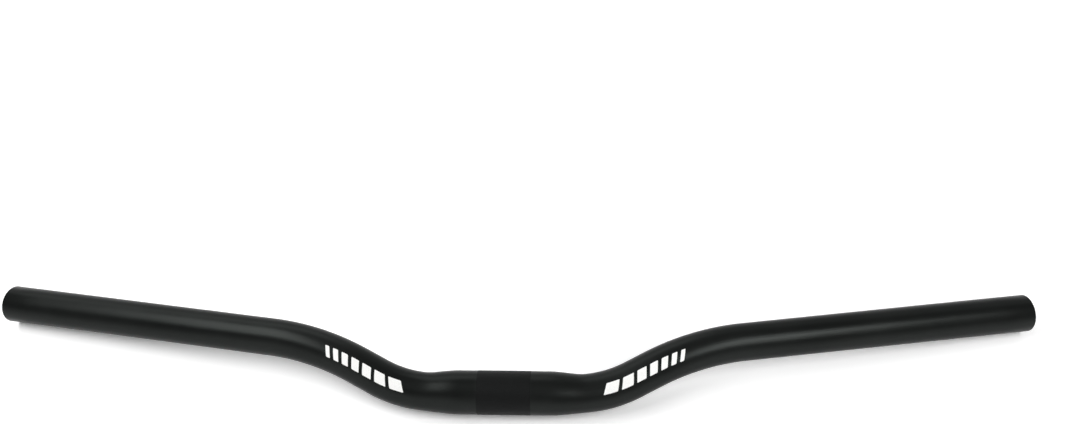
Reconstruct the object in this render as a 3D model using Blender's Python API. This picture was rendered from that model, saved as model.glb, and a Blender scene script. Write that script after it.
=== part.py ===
"""A riser handlebar for a mountain bike.

One aluminium tube. Its middle keeps the clamp size and carries a knurled band, both sides are
swaged down to the grip size, and each arm is bent twice: up and back, then out to the grip.
The wall is butted: thick at the clamp, thin at the grips, with a smooth outer face.

Metres, +Z up. The tube is laid out as it sits on a bicycle, with X across, Y back to the rider
and Z up, and is then tipped forward until it lies on its clamp and on both ends, as it comes to
rest on a level surface. The origin is on that surface, under the middle of the bar's box.
"""
import math

import bmesh
import bpy
import numpy as np
from mathutils import Vector

# Diameters and walls
CLAMP_DIAMETER = 0.0254
GRIP_DIAMETER = 0.0222
CLAMP_WALL = 0.0026
GRIP_WALL = 0.0020

# Lengths along the tube, the first three across its middle
KNURL_LENGTH = 0.031
CLAMP_LENGTH = 0.052
THICK_LENGTH = 0.110
SWAGE_LENGTH = 0.023
BUTT_LENGTH = 0.060

# Bends: where the two arms turn, and how far
BAR_WIDTH = 0.630
RISER_START = 0.0585
RISE = 0.027
RISER_ANGLE = math.radians(27.5)
RISER_LEAN = math.radians(14.0)
UPSWEEP = math.radians(5.0)
BACKSWEEP = math.radians(9.0)
INNER_BEND_RADIUS = 0.075
OUTER_BEND_RADIUS = 0.150

# Edges
KNURL_HEIGHT = 0.00012
RIM_CHAMFER = 0.0004
BORE_CHAMFER = 0.0003

# Facets
OUTER_SIDES = 40
BORE_SIDES = 24
BEND_STEP = math.radians(2.5)
SWAGE_STEPS = 6
BUTT_STEPS = 3
WELD_DISTANCE = 1e-6
CAP_ANGLE = math.radians(0.1)

# Finish
BLACK = (0.011, 0.011, 0.012, 1.0)


def clear_scene():
    """Removes every object of the scene."""
    for item in list(bpy.data.objects):
        bpy.data.objects.remove(item, do_unlink=True)


def corners():
    """The middle of the bar, the corners of the right arm's two bends, and the centre of its end."""
    up_the_riser = Vector((
        math.cos(RISER_ANGLE),
        math.sin(RISER_ANGLE) * math.sin(RISER_LEAN),
        math.sin(RISER_ANGLE) * math.cos(RISER_LEAN),
    ))
    along_the_grip = Vector((1.0, math.tan(BACKSWEEP), math.tan(UPSWEEP)))
    inner = Vector((RISER_START, 0.0, 0.0))
    outer = inner + up_the_riser * (RISE / up_the_riser.z)
    end = outer + along_the_grip * (BAR_WIDTH / 2 - outer.x)
    return [Vector((0.0, 0.0, 0.0)), inner, outer, end]


def bent_route(points, radii):
    """Straight runs and arcs through the points, each as its start, heading, inward side, radius and length."""
    runs = []
    start = points[0]
    for before, corner, after, radius in zip(points, points[1:], points[2:], radii):
        heading = (corner - before).normalized()
        leaving = (after - corner).normalized()
        turn = heading.angle(leaving)
        setback = radius * math.tan(turn / 2)
        entry = corner - heading * setback
        inward = (leaving - heading * heading.dot(leaving)).normalized()
        runs.append((start, heading, None, None, (entry - start).length))
        runs.append((entry, heading, inward, radius, radius * turn))
        start = corner + leaving * setback
    last = points[-1] - start
    runs.append((start, last.normalized(), None, None, last.length))
    return runs


def point_on(runs, distance):
    """The point at a distance along the runs. Past the last run it goes straight on."""
    for run in runs[:-1]:
        if distance <= run[-1]:
            break
        distance -= run[-1]
    else:
        run = runs[-1]
    start, heading, inward, radius, _ = run
    if radius is None:
        return start + heading * distance
    turn = distance / radius
    return start + heading * (radius * math.sin(turn)) + inward * (radius * (1 - math.cos(turn)))


def bend_stations(runs):
    """Distances of the rings along the arcs."""
    stations = []
    reached = 0.0
    for *_, radius, length in runs:
        if radius is not None:
            steps = math.ceil(length / radius / BEND_STEP)
            stations += [reached + length * step / steps for step in range(steps + 1)]
        reached += length
    return stations


def even_stations(start, length, steps):
    """Distances of the rings along a taper."""
    return [start + length * step / steps for step in range(steps + 1)]


def fade(distance, start, length):
    """One up to the start, nought past the length, and an S-curve between them."""
    share = min(max((distance - start) / length, 0.0), 1.0)
    return 0.5 + 0.5 * math.cos(math.pi * share)


def outer_radius(distance):
    """Radius of the outer face at a distance from the middle."""
    swell = CLAMP_DIAMETER - GRIP_DIAMETER
    return (GRIP_DIAMETER + swell * fade(distance, CLAMP_LENGTH / 2, SWAGE_LENGTH)) / 2


def bore_radius(distance):
    """Radius of the bore at a distance from the middle: the outer face less the butted wall."""
    thickening = CLAMP_WALL - GRIP_WALL
    wall = GRIP_WALL + thickening * fade(distance, THICK_LENGTH / 2, BUTT_LENGTH)
    return outer_radius(distance) - wall


def outer_profile(runs):
    """Distance and radius of each ring of the outer face, from the middle to the end."""
    length = sum(run[-1] for run in runs)
    stations = even_stations(CLAMP_LENGTH / 2, SWAGE_LENGTH, SWAGE_STEPS) + bend_stations(runs)
    profile = [
        (KNURL_LENGTH / 2, outer_radius(0.0) + KNURL_HEIGHT),
        (KNURL_LENGTH / 2 + KNURL_HEIGHT, outer_radius(0.0)),
    ]
    profile += [(distance, outer_radius(distance)) for distance in sorted(stations)]
    profile += [
        (length - RIM_CHAMFER, outer_radius(length)),
        (length, outer_radius(length) - RIM_CHAMFER),
    ]
    return profile


def bore_profile(runs):
    """Distance and radius of each ring of the bore, from the middle to just past the end."""
    length = sum(run[-1] for run in runs)
    stations = even_stations(CLAMP_LENGTH / 2, SWAGE_LENGTH, SWAGE_STEPS)
    stations += even_stations(THICK_LENGTH / 2, BUTT_LENGTH, BUTT_STEPS)
    stations += bend_stations(runs)
    profile = [(distance, bore_radius(distance)) for distance in sorted(stations)]
    profile += [
        (length - BORE_CHAMFER, bore_radius(length)),
        (length + BORE_CHAMFER, bore_radius(length) + 2 * BORE_CHAMFER),
    ]
    return profile


def both_arms(runs, profile):
    """Points and radii of the whole bar, from the left end to the right one."""
    right = [(point_on(runs, distance), radius) for distance, radius in profile]
    left = [(Vector((-point.x, point.y, point.z)), radius) for point, radius in reversed(right)]
    return left + right


def round_solid(name, rings, sides, collection):
    """A closed round body through the rings: a bevelled curve made a mesh, with one face for each cap."""
    curve = bpy.data.curves.new(name, "CURVE")
    curve.dimensions = "3D"
    curve.twist_mode = "Z_UP"
    curve.bevel_depth = 1.0
    curve.bevel_resolution = (sides - 4) // 2
    curve.use_fill_caps = True
    spline = curve.splines.new("POLY")
    spline.points.add(len(rings) - 1)
    for control, (point, radius) in zip(spline.points, rings):
        control.co = (*point, 1.0)
        control.radius = radius
    guide = bpy.data.objects.new(name + "_guide", curve)
    collection.objects.link(guide)
    graph = bpy.context.evaluated_depsgraph_get()
    mesh = bpy.data.meshes.new_from_object(guide.evaluated_get(graph))
    mesh.name = name
    body = bmesh.new()
    body.from_mesh(mesh)
    bmesh.ops.remove_doubles(body, verts=body.verts, dist=WELD_DISTANCE)
    bmesh.ops.recalc_face_normals(body, faces=body.faces)
    for inside, end in ((rings[1], rings[0]), (rings[-2], rings[-1])):
        out = (end[0] - inside[0]).normalized()
        cap = [face for face in body.faces if face.normal.angle(out) < CAP_ANGLE]
        bmesh.ops.dissolve_faces(body, faces=cap)
    body.to_mesh(mesh)
    body.free()
    solid = bpy.data.objects.new(name, mesh)
    solid.matrix_world = guide.matrix_world
    collection.objects.link(solid)
    bpy.data.objects.remove(guide, do_unlink=True)
    return solid


def bore_out(bar, bore):
    """Cuts the bore through the bar. The cutter rides on the bar."""
    bore.parent = bar
    bore.hide_render = True
    bore.display_type = "WIRE"
    cut = bar.modifiers.new("Bore", "BOOLEAN")
    cut.operation = "DIFFERENCE"
    cut.object = bore


def lay_down(bar):
    """Tips the bar forward until the clamp and both ends touch one level, and sets it on the origin's level."""
    graph = bpy.context.evaluated_depsgraph_get()
    points = np.array([vertex.co for vertex in bar.evaluated_get(graph).data.vertices])
    across = np.abs(points[:, 0])
    clamp = points[across < CLAMP_LENGTH / 2]
    ends = points[across > across.max() - GRIP_DIAMETER]

    def heights(group, tip):
        return group[:, 2] * math.cos(tip) - group[:, 1] * math.sin(tip)

    low, high = 0.0, math.pi / 2
    while high - low > 1e-7:
        tip = (low + high) / 2
        if heights(ends, tip).min() > heights(clamp, tip).min():
            low = tip
        else:
            high = tip
    away = points[:, 1] * math.cos(tip) + points[:, 2] * math.sin(tip)
    bar.rotation_euler.x = -tip
    bar.location = (0.0, -(away.min() + away.max()) / 2, -heights(points, tip).min())


def black_finish():
    """Satin black anodised aluminium."""
    material = bpy.data.materials.new("black_anodised_aluminium")
    material.use_nodes = True
    surface = material.node_tree.nodes["Principled BSDF"]
    surface.inputs["Base Color"].default_value = BLACK
    surface.inputs["Metallic"].default_value = 0.0
    surface.inputs["Roughness"].default_value = 0.42
    material.diffuse_color = BLACK
    return material


def build():
    """Makes the handlebar."""
    clear_scene()
    parts = bpy.data.collections.new("mountain_bike_handlebar")
    cutters = bpy.data.collections.new("cutters")
    bpy.context.scene.collection.children.link(parts)
    bpy.context.scene.collection.children.link(cutters)

    runs = bent_route(corners(), [INNER_BEND_RADIUS, OUTER_BEND_RADIUS])
    bar = round_solid("handlebar", both_arms(runs, outer_profile(runs)), OUTER_SIDES, parts)
    bore = round_solid("bore", both_arms(runs, bore_profile(runs)), BORE_SIDES, cutters)
    bar.data.materials.append(black_finish())
    bar.data.shade_smooth()
    bar.data.set_sharp_from_angle(angle=math.radians(30))
    bore_out(bar, bore)
    lay_down(bar)


build()
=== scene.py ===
"""A black riser handlebar for a mountain bike, lying on a white table.

The tube is made as a workshop makes it: drawn straight with its swages, bore and knurl, printed,
and only then bent twice on each arm. Metres, +Z up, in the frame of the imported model.
"""
import math

import bmesh
import bpy
from mathutils import Matrix, Vector


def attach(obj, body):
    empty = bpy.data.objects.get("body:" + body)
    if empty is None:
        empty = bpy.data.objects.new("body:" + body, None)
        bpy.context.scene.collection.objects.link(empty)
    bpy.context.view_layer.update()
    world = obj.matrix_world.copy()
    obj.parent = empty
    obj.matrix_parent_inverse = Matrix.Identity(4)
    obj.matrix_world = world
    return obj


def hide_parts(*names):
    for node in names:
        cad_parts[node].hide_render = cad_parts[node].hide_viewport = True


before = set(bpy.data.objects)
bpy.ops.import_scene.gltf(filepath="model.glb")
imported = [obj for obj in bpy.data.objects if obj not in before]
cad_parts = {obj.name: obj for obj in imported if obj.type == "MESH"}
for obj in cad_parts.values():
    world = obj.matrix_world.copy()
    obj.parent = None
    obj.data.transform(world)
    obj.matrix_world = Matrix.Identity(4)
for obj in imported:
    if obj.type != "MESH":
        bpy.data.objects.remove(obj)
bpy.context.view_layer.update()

# Tube: diameters and walls
CLAMP_DIAMETER = 0.0254
GRIP_DIAMETER = 0.0222
CLAMP_WALL = 0.0026
GRIP_WALL = 0.0020

# Lengths along the tube, the first three across its middle
KNURL_LENGTH = 0.031
CLAMP_LENGTH = 0.052
THICK_LENGTH = 0.110
SWAGE_LENGTH = 0.023
BUTT_LENGTH = 0.060

# Bends: where the two arms turn, and how far
BAR_WIDTH = 0.630
RISER_START = 0.0585
RISE = 0.027
RISER_ANGLE = math.radians(27.5)
RISER_LEAN = math.radians(14.0)
UPSWEEP = math.radians(5.0)
BACKSWEEP = math.radians(9.0)
INNER_BEND_RADIUS = 0.075
OUTER_BEND_RADIUS = 0.150
TIPPED_FORWARD = math.radians(50.733)

# Knurl: square pyramids on a diamond grid, raised from the skin. The grid has a column for each side of
# the tube and a row for each ring of half the band.
SIDES = 132
KNURL_RINGS = 26
KNURL_CREST = 0.00012

# Edges and facets
RIM_ROUND = 0.0004
RIM_STEPS = 4
BORE_CHAMFER = 0.0003
FINE_STEP = 0.0016
COARSE_STEP = 0.018
WELD_DISTANCE = 1e-6
CUT_TOLERANCE = 1e-7
RING_DIGITS = 8
SHARP_ANGLE = math.radians(28)

# Finishes of the tube, in the order of its materials
SKIN, KNURLED, CUT_END, BORE = range(4)

# Print: a row of slanted bars on the front of each riser, narrower towards the grip
PRINT_START = 0.0585
PRINT_HEIGHT = 0.0062
PRINT_TURN = math.radians(165.5)
PRINT_SLANT = math.radians(28)
PRINT_WIDTHS = (0.0082, 0.0070, 0.0059, 0.0049, 0.0040, 0.0032, 0.0025)
PRINT_GAP = 0.0023
PRINT_CORNER = 0.0005
PRINT_CORNER_STEPS = 3
PRINT_SLICE = 0.001
PRINT_ROWS = 14
INK_PROUD = 0.00004
INK_SUNK = 0.00003

# Table: its size, where it fades to plain white, and its own white and the white that is seen
TABLE_RADIUS = 3.0
TABLE_SIDES = 64
FADE_START = 0.45
FADE_END = 1.0
TABLE_WHITE = 0.90
SEEN_WHITE = 1.28

# Room: sine of the height where its white starts to go and where it has gone, and how dim it is above
WHITE_BELOW = 0.22
DIM_ABOVE = 0.28
DIM_ROOM = 0.17

# Camera, found by fitting the tube's outline and the place of the knurl to the photograph's
CAMERA_PLACE = (0.04125, -0.28588, 0.51082)
CAMERA_YAW = math.radians(-3.544)
CAMERA_PITCH = math.radians(51.784)
CAMERA_ROLL = math.radians(-2.478)
CAMERA_LENS = 31.555
CAMERA_SENSOR = 36.0
CAMERA_CLIP = 0.01


# ---------------------------------------------------------------- the route of the bent tube

def corners():
    """The middle of the bar, the corners of the right arm's two bends, and the centre of its end."""
    up_the_riser = Vector((
        math.cos(RISER_ANGLE),
        math.sin(RISER_ANGLE) * math.sin(RISER_LEAN),
        math.sin(RISER_ANGLE) * math.cos(RISER_LEAN),
    ))
    along_the_grip = Vector((1.0, math.tan(BACKSWEEP), math.tan(UPSWEEP)))
    inner = Vector((RISER_START, 0.0, 0.0))
    outer = inner + up_the_riser * (RISE / up_the_riser.z)
    end = outer + along_the_grip * (BAR_WIDTH / 2 - outer.x)
    return [Vector((0.0, 0.0, 0.0)), inner, outer, end]


def bent_route(points, radii):
    """Straight runs and bends through the points, each as its length, radius and turning axis."""
    runs = []
    used = 0.0
    for before, corner, after, radius in zip(points, points[1:], points[2:], radii):
        heading = (corner - before).normalized()
        leaving = (after - corner).normalized()
        turn = heading.angle(leaving)
        setback = radius * math.tan(turn / 2)
        runs.append(((corner - before).length - used - setback, None, None))
        runs.append((radius * turn, radius, heading.cross(leaving).normalized()))
        used = setback
    runs.append(((points[-1] - points[-2]).length - used, None, None))
    return runs


ROUTE = bent_route(corners(), [INNER_BEND_RADIUS, OUTER_BEND_RADIUS])
HALF_LENGTH = sum(length for length, _, _ in ROUTE)
LAST_BEND_END = HALF_LENGTH - ROUTE[-1][0]


def section_place(distance):
    """Where the tube's cross-section at a distance from the middle goes when the arm is bent."""
    point = Vector((0.0, 0.0, 0.0))
    turned = Matrix.Identity(3)
    for length, radius, axis in ROUTE:
        here = min(distance, length)
        heading = turned @ Vector((1.0, 0.0, 0.0))
        if radius is None:
            point = point + heading * here
        else:
            angle = here / radius
            inward = axis.cross(heading)
            shift = radius * (1 - math.cos(angle))
            point = point + heading * (radius * math.sin(angle)) + inward * shift
            turned = Matrix.Rotation(angle, 3, axis) @ turned
        distance -= here
    return Matrix.Translation(point) @ turned.to_4x4()


# ---------------------------------------------------------------- the wall of the tube

def fade(distance, start, length):
    """One up to the start, nought past the length, and an S-curve between them."""
    share = min(max((distance - start) / length, 0.0), 1.0)
    return 0.5 + 0.5 * math.cos(math.pi * share)


def outer_radius(distance):
    """Radius of the skin at a distance from the middle, before knurling."""
    swell = CLAMP_DIAMETER - GRIP_DIAMETER
    return (GRIP_DIAMETER + swell * fade(distance, CLAMP_LENGTH / 2, SWAGE_LENGTH)) / 2


def bore_radius(distance):
    """Radius of the bore: the skin less the butted wall, thick at the clamp and thin at the grip."""
    thickening = (CLAMP_WALL - GRIP_WALL) * fade(distance, THICK_LENGTH / 2, BUTT_LENGTH)
    return outer_radius(distance) - GRIP_WALL - thickening


def stations(start, stop, step):
    """Distances from the start, left out, to the stop, kept."""
    count = math.ceil(abs(stop - start) / step)
    return [start + (stop - start) * number / count for number in range(1, count + 1)]


def wall_rings():
    """Distance and radius of each ring: out along the skin, round the rim and back down the bore."""
    band = KNURL_LENGTH / 2
    rings = [(band * ring / KNURL_RINGS, outer_radius(0.0)) for ring in range(KNURL_RINGS + 1)]
    skin = stations(band, LAST_BEND_END, FINE_STEP)
    skin += stations(LAST_BEND_END, HALF_LENGTH - RIM_ROUND, COARSE_STEP)
    rings += [(distance, outer_radius(distance)) for distance in skin]
    shoulder = outer_radius(HALF_LENGTH) - RIM_ROUND
    for step in range(1, RIM_STEPS + 1):
        turn = step / RIM_STEPS * math.pi / 2
        distance = HALF_LENGTH - RIM_ROUND * (1 - math.sin(turn))
        rings.append((distance, shoulder + RIM_ROUND * math.cos(turn)))
    mouth = bore_radius(HALF_LENGTH)
    rings.append((HALF_LENGTH, (shoulder + mouth + BORE_CHAMFER) / 2))
    rings.append((HALF_LENGTH, mouth + BORE_CHAMFER))
    rings.append((HALF_LENGTH - BORE_CHAMFER, mouth))
    bore = stations(HALF_LENGTH - BORE_CHAMFER, LAST_BEND_END, COARSE_STEP)
    bore += stations(LAST_BEND_END, 0.0, 2 * FINE_STEP)
    return rings + [(distance, bore_radius(distance)) for distance in bore]


def drawn_on(body, ring, distance, radius):
    """Draws the wall on from a ring of edges to the next ring, and returns that one."""
    grown = bmesh.ops.extrude_edge_only(body, edges=ring)["geom"]
    verts = [part for part in grown if isinstance(part, bmesh.types.BMVert)]
    swell = radius / verts[0].co.yz.length
    bmesh.ops.scale(body, verts=verts, vec=(0.0, swell, swell))
    bmesh.ops.translate(body, verts=verts, vec=(distance, 0.0, 0.0))
    return [part for part in grown if isinstance(part, bmesh.types.BMEdge)]


def knurl(body):
    """Raises every other point of the band into a crest, and folds its faces between the grooves."""
    pitch = KNURL_LENGTH / 2 / KNURL_RINGS
    inside = (outer_radius(0.0) + bore_radius(0.0)) / 2
    rows = [vert for vert in body.verts if vert.co.x < KNURL_LENGTH / 2 + WELD_DISTANCE]
    band = [vert for vert in rows if vert.co.yz.length > inside]
    crests = []
    for vert in band:
        ring = round(vert.co.x / pitch)
        side = round(math.atan2(vert.co.z, vert.co.y) / (2 * math.pi / SIDES))
        if ring < KNURL_RINGS and (ring + side) % 2:
            crests.append(vert)
    lift = 1 + KNURL_CREST / outer_radius(0.0)
    bmesh.ops.scale(body, verts=crests, vec=(1.0, lift, lift))
    raised = set(crests)
    bmesh.ops.connect_verts(body, verts=[v for v in band if v not in raised])


def finish_of(face):
    """The finish that a face of the straight tube has. The rim's rounding and chamfer are cut end."""
    centre = face.calc_center_median()
    distance = abs(centre.x)
    if centre.yz.length < bore_radius(distance) + BORE_CHAMFER / 4:
        return BORE
    if distance > HALF_LENGTH - RIM_ROUND:
        return CUT_END
    if distance < KNURL_LENGTH / 2:
        return KNURLED
    return SKIN


def straight_tube():
    """The whole tube before it is bent, with its finishes told apart."""
    body = bmesh.new()
    rings = wall_rings()
    upright = Matrix.Rotation(math.pi / 2, 4, "Y")
    bmesh.ops.create_circle(body, segments=SIDES, radius=rings[0][1], matrix=upright)
    ring = list(body.edges)
    for distance, radius in rings[1:]:
        ring = drawn_on(body, ring, distance, radius)
    knurl(body)
    both_arms(body)
    for face in body.faces:
        face.material_index = finish_of(face)
        face.smooth = face.material_index != KNURLED
    return body


def both_arms(body):
    """Mirrors the right arm to the left."""
    everything = body.verts[:] + body.edges[:] + body.faces[:]
    bmesh.ops.mirror(
        body, geom=everything, matrix=Matrix.Identity(4), merge_dist=WELD_DISTANCE, axis="X",
    )
    bmesh.ops.remove_doubles(body, verts=body.verts, dist=WELD_DISTANCE)
    bmesh.ops.recalc_face_normals(body, faces=body.faces)


# ---------------------------------------------------------------- the print

def inked_bars():
    """The printed bars of both risers as thin shells of ink, wrapped on the straight tube."""
    ink = bmesh.new()
    start = PRINT_START
    for width in PRINT_WIDTHS:
        size = Matrix.Diagonal((width, PRINT_HEIGHT, 1.0, 1.0))
        slanted = Matrix.Identity(4)
        slanted[0][1] = math.tan(PRINT_SLANT)
        middle = Matrix.Translation((start + width / 2, 0.0, 0.0))
        bmesh.ops.create_grid(ink, x_segments=1, y_segments=1, size=0.5, matrix=middle @ slanted @ size)
        start += width + PRINT_GAP
    bmesh.ops.bevel(
        ink, geom=ink.verts[:], offset=PRINT_CORNER, offset_type="OFFSET", affect="VERTICES",
        segments=PRINT_CORNER_STEPS, profile=0.5, material=-1,
    )
    reach = start + PRINT_HEIGHT - PRINT_START
    for count in range(int(reach / PRINT_SLICE)):
        place = PRINT_START - PRINT_HEIGHT / 2 + count * PRINT_SLICE
        cut_across(ink, (place, 0.0, 0.0), (1.0, 0.0, 0.0))
    for count in range(1, PRINT_ROWS):
        cut_across(ink, (0.0, PRINT_HEIGHT * (count / PRINT_ROWS - 0.5), 0.0), (0.0, 1.0, 0.0))
    bmesh.ops.solidify(ink, geom=ink.faces[:], thickness=INK_PROUD + INK_SUNK)
    top = max(vert.co.z for vert in ink.verts)
    bmesh.ops.translate(ink, verts=ink.verts, vec=(0.0, 0.0, INK_PROUD - top))
    for vert in ink.verts:
        distance, radius = vert.co.x, outer_radius(vert.co.x)
        turn = PRINT_TURN - vert.co.y / radius
        radius += vert.co.z
        vert.co = (distance, radius * math.cos(turn), radius * math.sin(turn))
    both_arms(ink)
    return ink


def cut_across(body, place, square_to):
    """Cuts every face along a plane, and keeps both sides."""
    everything = body.verts[:] + body.edges[:] + body.faces[:]
    bmesh.ops.bisect_plane(
        body, geom=everything, dist=CUT_TOLERANCE, plane_co=place, plane_no=square_to,
    )


# ---------------------------------------------------------------- bending and laying down

def bend_arms(body):
    """Bends both arms, and keeps each point's place on the straight tube for the materials to read."""
    unbent = body.verts.layers.float_vector.new("unbent")
    places = {}
    for vert in body.verts:
        vert[unbent] = vert.co
        distance = round(abs(vert.co.x), RING_DIGITS)
        if distance not in places:
            places[distance] = section_place(distance)
        bent = places[distance] @ Vector((0.0, vert.co.y, vert.co.z))
        bent.x = math.copysign(bent.x, vert.co.x)
        vert.co = bent


def lie(body, settle):
    """Tips a bent body forward and moves it to where the bar lies."""
    tipped = Matrix.Rotation(-TIPPED_FORWARD, 4, "X")
    bmesh.ops.transform(body, matrix=settle @ tipped, verts=body.verts)


def settled(body):
    """The move that sets the tipped bar on the table, with its box over the origin."""
    lie(body, Matrix.Identity(4))
    ys = [vert.co.y for vert in body.verts]
    lowest = min(vert.co.z for vert in body.verts)
    settle = Matrix.Translation((0.0, -(min(ys) + max(ys)) / 2, -lowest))
    bmesh.ops.transform(body, matrix=settle, verts=body.verts)
    return settle


def piece(name, body, materials):
    """An object made from a finished mesh, riding on the bar's only body."""
    mesh = bpy.data.meshes.new(name)
    body.to_mesh(mesh)
    body.free()
    mesh.set_sharp_from_angle(angle=SHARP_ANGLE)
    for material in materials:
        mesh.materials.append(material)
    made = bpy.data.objects.new(name, mesh)
    bpy.context.scene.collection.objects.link(made)
    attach(made, "root")
    return made


# ---------------------------------------------------------------- materials

def linear(code):
    """A linear colour from an sRGB hex code."""
    parts = [int(code[place:place + 2], 16) / 255 for place in (1, 3, 5)]
    levels = [part / 12.92 if part <= 0.04045 else ((part + 0.055) / 1.055) ** 2.4 for part in parts]
    return (*levels, 1.0)


def add(tree, kind, inputs=(), **settings):
    """Adds a node. An input is given a constant, or another node's output to be linked to."""
    made = tree.nodes.new("ShaderNode" + kind)
    for name, value in settings.items():
        setattr(made, name, value)
    for name, value in dict(inputs).items():
        if isinstance(value, bpy.types.NodeSocket):
            tree.links.new(value, made.inputs[name])
        else:
            made.inputs[name].default_value = value
    return made


def new_finish(name):
    """An empty material and its node tree."""
    material = bpy.data.materials.new(name)
    material.use_nodes = True
    material.node_tree.nodes.clear()
    return material, material.node_tree


def close(tree, surface):
    """Links a finish's shader to its output."""
    add(tree, "OutputMaterial", {"Surface": surface.outputs[0]})


def anodised_skin():
    """Aluminium tube, drawn, blasted with fine beads, dyed black and sealed.

    To the eye: a deep, very slightly uneven black with a soft, broad sheen, and the faintest
    lengthwise lines in that sheen.
    """
    material, tree = new_finish("satin_black_anodised_aluminium")
    unbent = add(tree, "Attribute", attribute_name="unbent").outputs["Vector"]
    # Lines left by the drawing die, some 0.05 mm apart, drawn at ten times that to show
    stretched = add(tree, "Mapping", {"Vector": unbent, "Scale": (9.0, 2000.0, 2000.0)}).outputs[0]
    lines = add(tree, "TexNoise", {"Vector": stretched, "Scale": 1.0, "Detail": 2.0}).outputs[0]
    # Blasted grain of 0.05 mm, drawn at 0.35 mm
    grain = add(tree, "TexNoise", {
        "Vector": unbent, "Scale": 2900.0, "Detail": 3.0, "Roughness": 0.6,
    }).outputs[0]
    # The dye takes a little unevenly over 40 mm
    cloud = add(tree, "TexNoise", {"Vector": unbent, "Scale": 25.0, "Detail": 3.0}).outputs[0]
    dye = add(tree, "ValToRGB", {"Fac": cloud})
    dye.color_ramp.elements[0].position = 0.35
    dye.color_ramp.elements[0].color = linear("#222423")
    dye.color_ramp.elements[1].position = 0.65
    dye.color_ramp.elements[1].color = linear("#262827")
    mixed = add(tree, "Math", {0: lines, 1: cloud}, operation="MULTIPLY").outputs[0]
    sheen = add(tree, "MapRange", {
        "Value": mixed, "From Min": 0.1, "From Max": 0.45, "To Min": 0.30, "To Max": 0.38,
    })
    lined = add(tree, "Bump", {"Height": lines, "Strength": 0.12, "Distance": 0.00010})
    blasted = add(tree, "Bump", {
        "Height": grain, "Strength": 0.25, "Distance": 0.00006, "Normal": lined.outputs[0],
    })
    close(tree, add(tree, "BsdfPrincipled", {
        "Base Color": dye.outputs["Color"],
        "Metallic": 0.7,
        "Roughness": sheen.outputs["Result"],
        "Specular IOR Level": 0.1,
        "Specular Tint": (0.65, 0.65, 0.65, 1.0),
        "Normal": blasted.outputs[0],
    }))
    return material


def knurled_skin():
    """The same tube where a knurling wheel has rolled it before dyeing.

    To the eye: a flat black with no sheen of its own, with painted shade: darker in the grooves and a
    little greyer on the crests.
    """
    material, tree = new_finish("knurled_black_anodised_aluminium")
    unbent = add(tree, "Attribute", attribute_name="unbent").outputs["Vector"]
    depth = add(tree, "VectorMath", {0: unbent, 1: (0.0, 1.0, 1.0)}, operation="MULTIPLY").outputs[0]
    radius = add(tree, "VectorMath", {0: depth}, operation="LENGTH").outputs["Value"]
    groove = CLAMP_DIAMETER / 2
    crest = groove + KNURL_CREST
    height = add(tree, "MapRange", {
        "Value": radius, "From Min": groove, "From Max": crest,
    }).outputs["Result"]
    # Painted shade: the colour goes darker down into the grooves and lighter up on the crests, by
    # height above the groove
    painted_groove_shade = add(tree, "ValToRGB", {"Fac": height})
    painted_groove_shade.color_ramp.elements[0].position = 0.55
    painted_groove_shade.color_ramp.elements[0].color = linear("#1B1C1C")
    painted_groove_shade.color_ramp.elements[1].color = linear("#242525")
    # Torn metal in the grooves, 0.1 mm, drawn at 0.2 mm
    torn = add(tree, "TexNoise", {"Vector": unbent, "Scale": 5000.0, "Detail": 2.0}).outputs[0]
    bumped = add(tree, "Bump", {"Height": torn, "Strength": 0.3, "Distance": 0.00003})
    rough = add(tree, "MapRange", {"Value": height, "To Min": 0.60, "To Max": 0.45}).outputs["Result"]
    close(tree, add(tree, "BsdfPrincipled", {
        "Base Color": painted_groove_shade.outputs["Color"],
        "Metallic": 0.6,
        "Roughness": rough,
        "Specular IOR Level": 0.1,
        "Specular Tint": (0.9, 0.9, 0.9, 1.0),
        "Normal": bumped.outputs[0],
    }))
    return material


def cut_end():
    """The sawn and turned rim, rounded outside and chamfered inside, dyed with the rest.

    To the eye: fine rings round the bore that catch a little more light than the skin.
    """
    material, tree = new_finish("turned_black_anodised_rim")
    unbent = add(tree, "Attribute", attribute_name="unbent").outputs["Vector"]
    # Tool marks of 0.08 mm feed, drawn at 0.25 mm
    rings = add(
        tree, "TexWave", {"Vector": unbent, "Scale": 1250.0, "Distortion": 0.4},
        wave_type="RINGS", rings_direction="X",
    ).outputs["Fac"]
    shade = add(tree, "ValToRGB", {"Fac": rings})
    shade.color_ramp.elements[0].color = linear("#131314")
    shade.color_ramp.elements[1].color = linear("#1B1B1C")
    turned = add(tree, "Bump", {"Height": rings, "Strength": 0.3, "Distance": 0.00003})
    close(tree, add(tree, "BsdfPrincipled", {
        "Base Color": shade.outputs["Color"],
        "Roughness": 0.34,
        "Specular IOR Level": 0.2,
        "Normal": turned.outputs[0],
    }))
    return material


def drawn_bore():
    """The inside of the tube, as the mandrel left it, dyed but never polished or blasted.

    To the eye: a dull black with long scratches along the bore.
    """
    material, tree = new_finish("drawn_black_anodised_bore")
    unbent = add(tree, "Attribute", attribute_name="unbent").outputs["Vector"]
    # Mandrel scores of 0.1 mm, drawn at 0.4 mm
    stretched = add(tree, "Mapping", {"Vector": unbent, "Scale": (14.0, 2500.0, 2500.0)}).outputs[0]
    scores = add(tree, "TexNoise", {"Vector": stretched, "Scale": 1.0, "Detail": 3.0}).outputs[0]
    shade = add(tree, "ValToRGB", {"Fac": scores})
    shade.color_ramp.elements[0].position = 0.3
    shade.color_ramp.elements[0].color = linear("#0F0F10")
    shade.color_ramp.elements[1].position = 0.7
    shade.color_ramp.elements[1].color = linear("#1A1A1B")
    scored = add(tree, "Bump", {"Height": scores, "Strength": 0.5, "Distance": 0.00005})
    close(tree, add(tree, "BsdfPrincipled", {
        "Base Color": shade.outputs["Color"],
        "Roughness": 0.5,
        "Specular IOR Level": 0.15,
        "Normal": scored.outputs[0],
    }))
    return material


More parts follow.
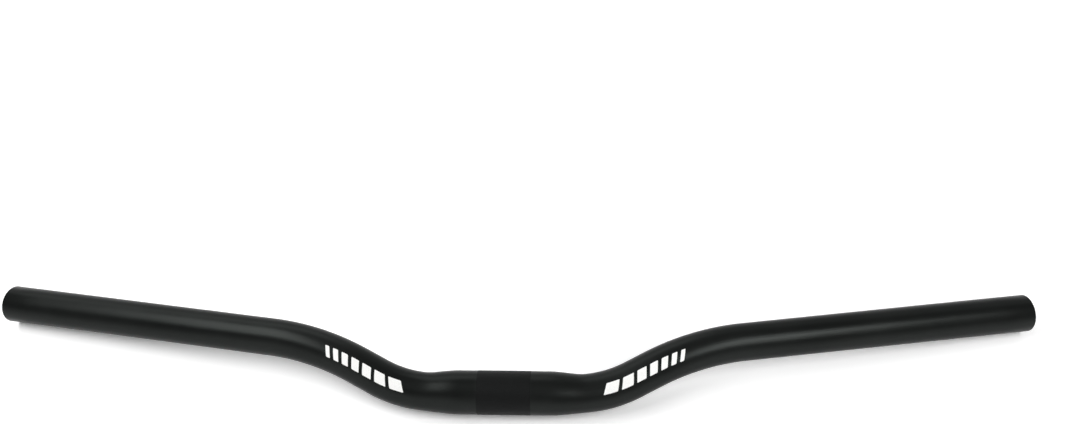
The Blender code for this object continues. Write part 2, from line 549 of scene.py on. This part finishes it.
def screen_print():
    """White two-pack ink, pushed through a screen in one pass and baked.

    To the eye: a clean white with a slight gloss and the screen's mottle.
    """
    material, tree = new_finish("white_screen_print_ink")
    unbent = add(tree, "Attribute", attribute_name="unbent").outputs["Vector"]
    # Screen mottle of 0.15 mm, drawn at 0.4 mm
    mottle = add(tree, "TexNoise", {"Vector": unbent, "Scale": 2500.0, "Detail": 2.0}).outputs[0]
    cover = add(tree, "ValToRGB", {"Fac": mottle})
    cover.color_ramp.elements[0].position = 0.3
    cover.color_ramp.elements[0].color = linear("#E9E9E6")
    cover.color_ramp.elements[1].position = 0.6
    cover.color_ramp.elements[1].color = linear("#F6F6F4")
    bumped = add(tree, "Bump", {"Height": mottle, "Strength": 0.2, "Distance": 0.00002})
    close(tree, add(tree, "BsdfPrincipled", {
        "Base Color": cover.outputs["Color"],
        "Roughness": 0.42,
        "IOR": 1.5,
        "Normal": bumped.outputs[0],
    }))
    return material


# ---------------------------------------------------------------- table, light and camera

def white_table():
    """A wide matt white table top, which goes over into plain white far off.

    To the eye: white, with the bar's shadows on it. The camera and the reflections in the bar see the
    same lifted white, and the table lights the bar with its own.
    """
    material, tree = new_finish("matt_white_table")
    path = add(tree, "LightPath").outputs
    seen = path["Is Camera Ray"]
    for also in ("Is Glossy Ray", "Is Transmission Ray"):
        seen = add(tree, "Math", {0: seen, 1: path[also]}, operation="MAXIMUM").outputs[0]
    place = add(tree, "TexCoord").outputs["Object"]
    away = add(tree, "VectorMath", {0: place}, operation="LENGTH").outputs["Value"]
    far = add(
        tree, "MapRange", {"Value": away, "From Min": FADE_START, "From Max": FADE_END},
        interpolation_type="SMOOTHSTEP",
    ).outputs["Result"]
    faded = add(tree, "Math", {0: far, 1: seen}, operation="MULTIPLY").outputs[0]
    colour = add(tree, "MapRange", {"Value": seen, "To Min": TABLE_WHITE, "To Max": SEEN_WHITE})
    matt = add(tree, "BsdfDiffuse", {"Color": colour.outputs["Result"]})
    white = add(tree, "Emission", {"Strength": 1.0})
    close(tree, add(tree, "MixShader", {0: faded, 1: matt.outputs[0], 2: white.outputs[0]}))
    top = bmesh.new()
    bmesh.ops.create_circle(top, cap_ends=True, segments=TABLE_SIDES, radius=TABLE_RADIUS)
    mesh = bpy.data.meshes.new("table")
    top.to_mesh(mesh)
    top.free()
    mesh.materials.append(material)
    table = bpy.data.objects.new("table", mesh)
    bpy.context.scene.collection.objects.link(table)


def soft_box(name, place, size, radiance, aim=(0.0, 0.0, 0.0)):
    """A rectangular soft box that faces a point. Its power comes from how bright its cloth is."""
    lamp = bpy.data.lights.new(name, "AREA")
    lamp.shape = "RECTANGLE"
    lamp.size, lamp.size_y = size
    lamp.energy = radiance * math.pi * size[0] * size[1]
    box = bpy.data.objects.new(name, lamp)
    box.location = place
    box.rotation_euler = (Vector(place) - Vector(aim)).to_track_quat("Z", "Y").to_euler()
    bpy.context.scene.collection.objects.link(box)


def studio():
    """The lights and the room round the table.

    Two soft boxes hang over the arms, two dim fills stand behind, and a card in front on the left. The
    room is white low down and dim above.
    """
    soft_box("box_left", (-0.72, 0.07, 1.10), (0.94, 0.46), 6.6)
    soft_box("box_right", (0.68, -0.43, 1.10), (0.40, 0.76), 10.2, aim=(0.85, 0.0, 0.0))
    soft_box("fill_behind_left", (-0.55, 1.10, 0.80), (1.30, 0.60), 2.1)
    soft_box("fill_behind_right", (0.75, 1.10, 0.80), (1.10, 0.60), 0.6)
    soft_box("card_front_left", (-0.50, -1.00, 0.38), (0.80, 0.60), 0.8)
    world = bpy.data.worlds.new("room")
    world.use_nodes = True
    tree = world.node_tree
    tree.nodes.clear()
    direction = add(tree, "TexCoord").outputs["Generated"]
    height = add(tree, "SeparateXYZ", {"Vector": direction}).outputs["Z"]
    heights = {"From Min": WHITE_BELOW, "From Max": DIM_ABOVE, "To Min": 1.0, "To Max": DIM_ROOM}
    room = add(
        tree, "MapRange", {"Value": height, **heights}, interpolation_type="SMOOTHSTEP",
    ).outputs["Result"]
    light = add(tree, "Background", {"Color": (1.0, 1.0, 1.0, 1.0), "Strength": room})
    add(tree, "OutputWorld", {"Surface": light.outputs[0]})
    bpy.context.scene.world = world


def photographers_camera():
    """The camera where the photograph was taken from."""
    lens = bpy.data.cameras.new("camera")
    lens.lens = CAMERA_LENS
    lens.sensor_width = CAMERA_SENSOR
    lens.clip_start = CAMERA_CLIP
    camera = bpy.data.objects.new("camera", lens)
    yaw = Matrix.Rotation(-CAMERA_YAW, 4, "Z")
    pitch = Matrix.Rotation(math.pi / 2 - CAMERA_PITCH, 4, "X")
    roll = Matrix.Rotation(CAMERA_ROLL, 4, "Z")
    camera.matrix_world = Matrix.Translation(CAMERA_PLACE) @ (yaw @ pitch) @ roll
    bpy.context.scene.collection.objects.link(camera)
    bpy.context.scene.camera = camera


# ---------------------------------------------------------------- putting it together

tube = straight_tube()
bend_arms(tube)
settle = settled(tube)
bars = inked_bars()
bend_arms(bars)
lie(bars, settle)

handlebar = piece("handlebar_tube", tube, [anodised_skin(), knurled_skin(), cut_end(), drawn_bore()])
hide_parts("handlebar")
piece("printed_bars", bars, [screen_print()])

white_table()
studio()
photographers_camera()
bpy.context.scene.view_settings.view_transform = "Standard"
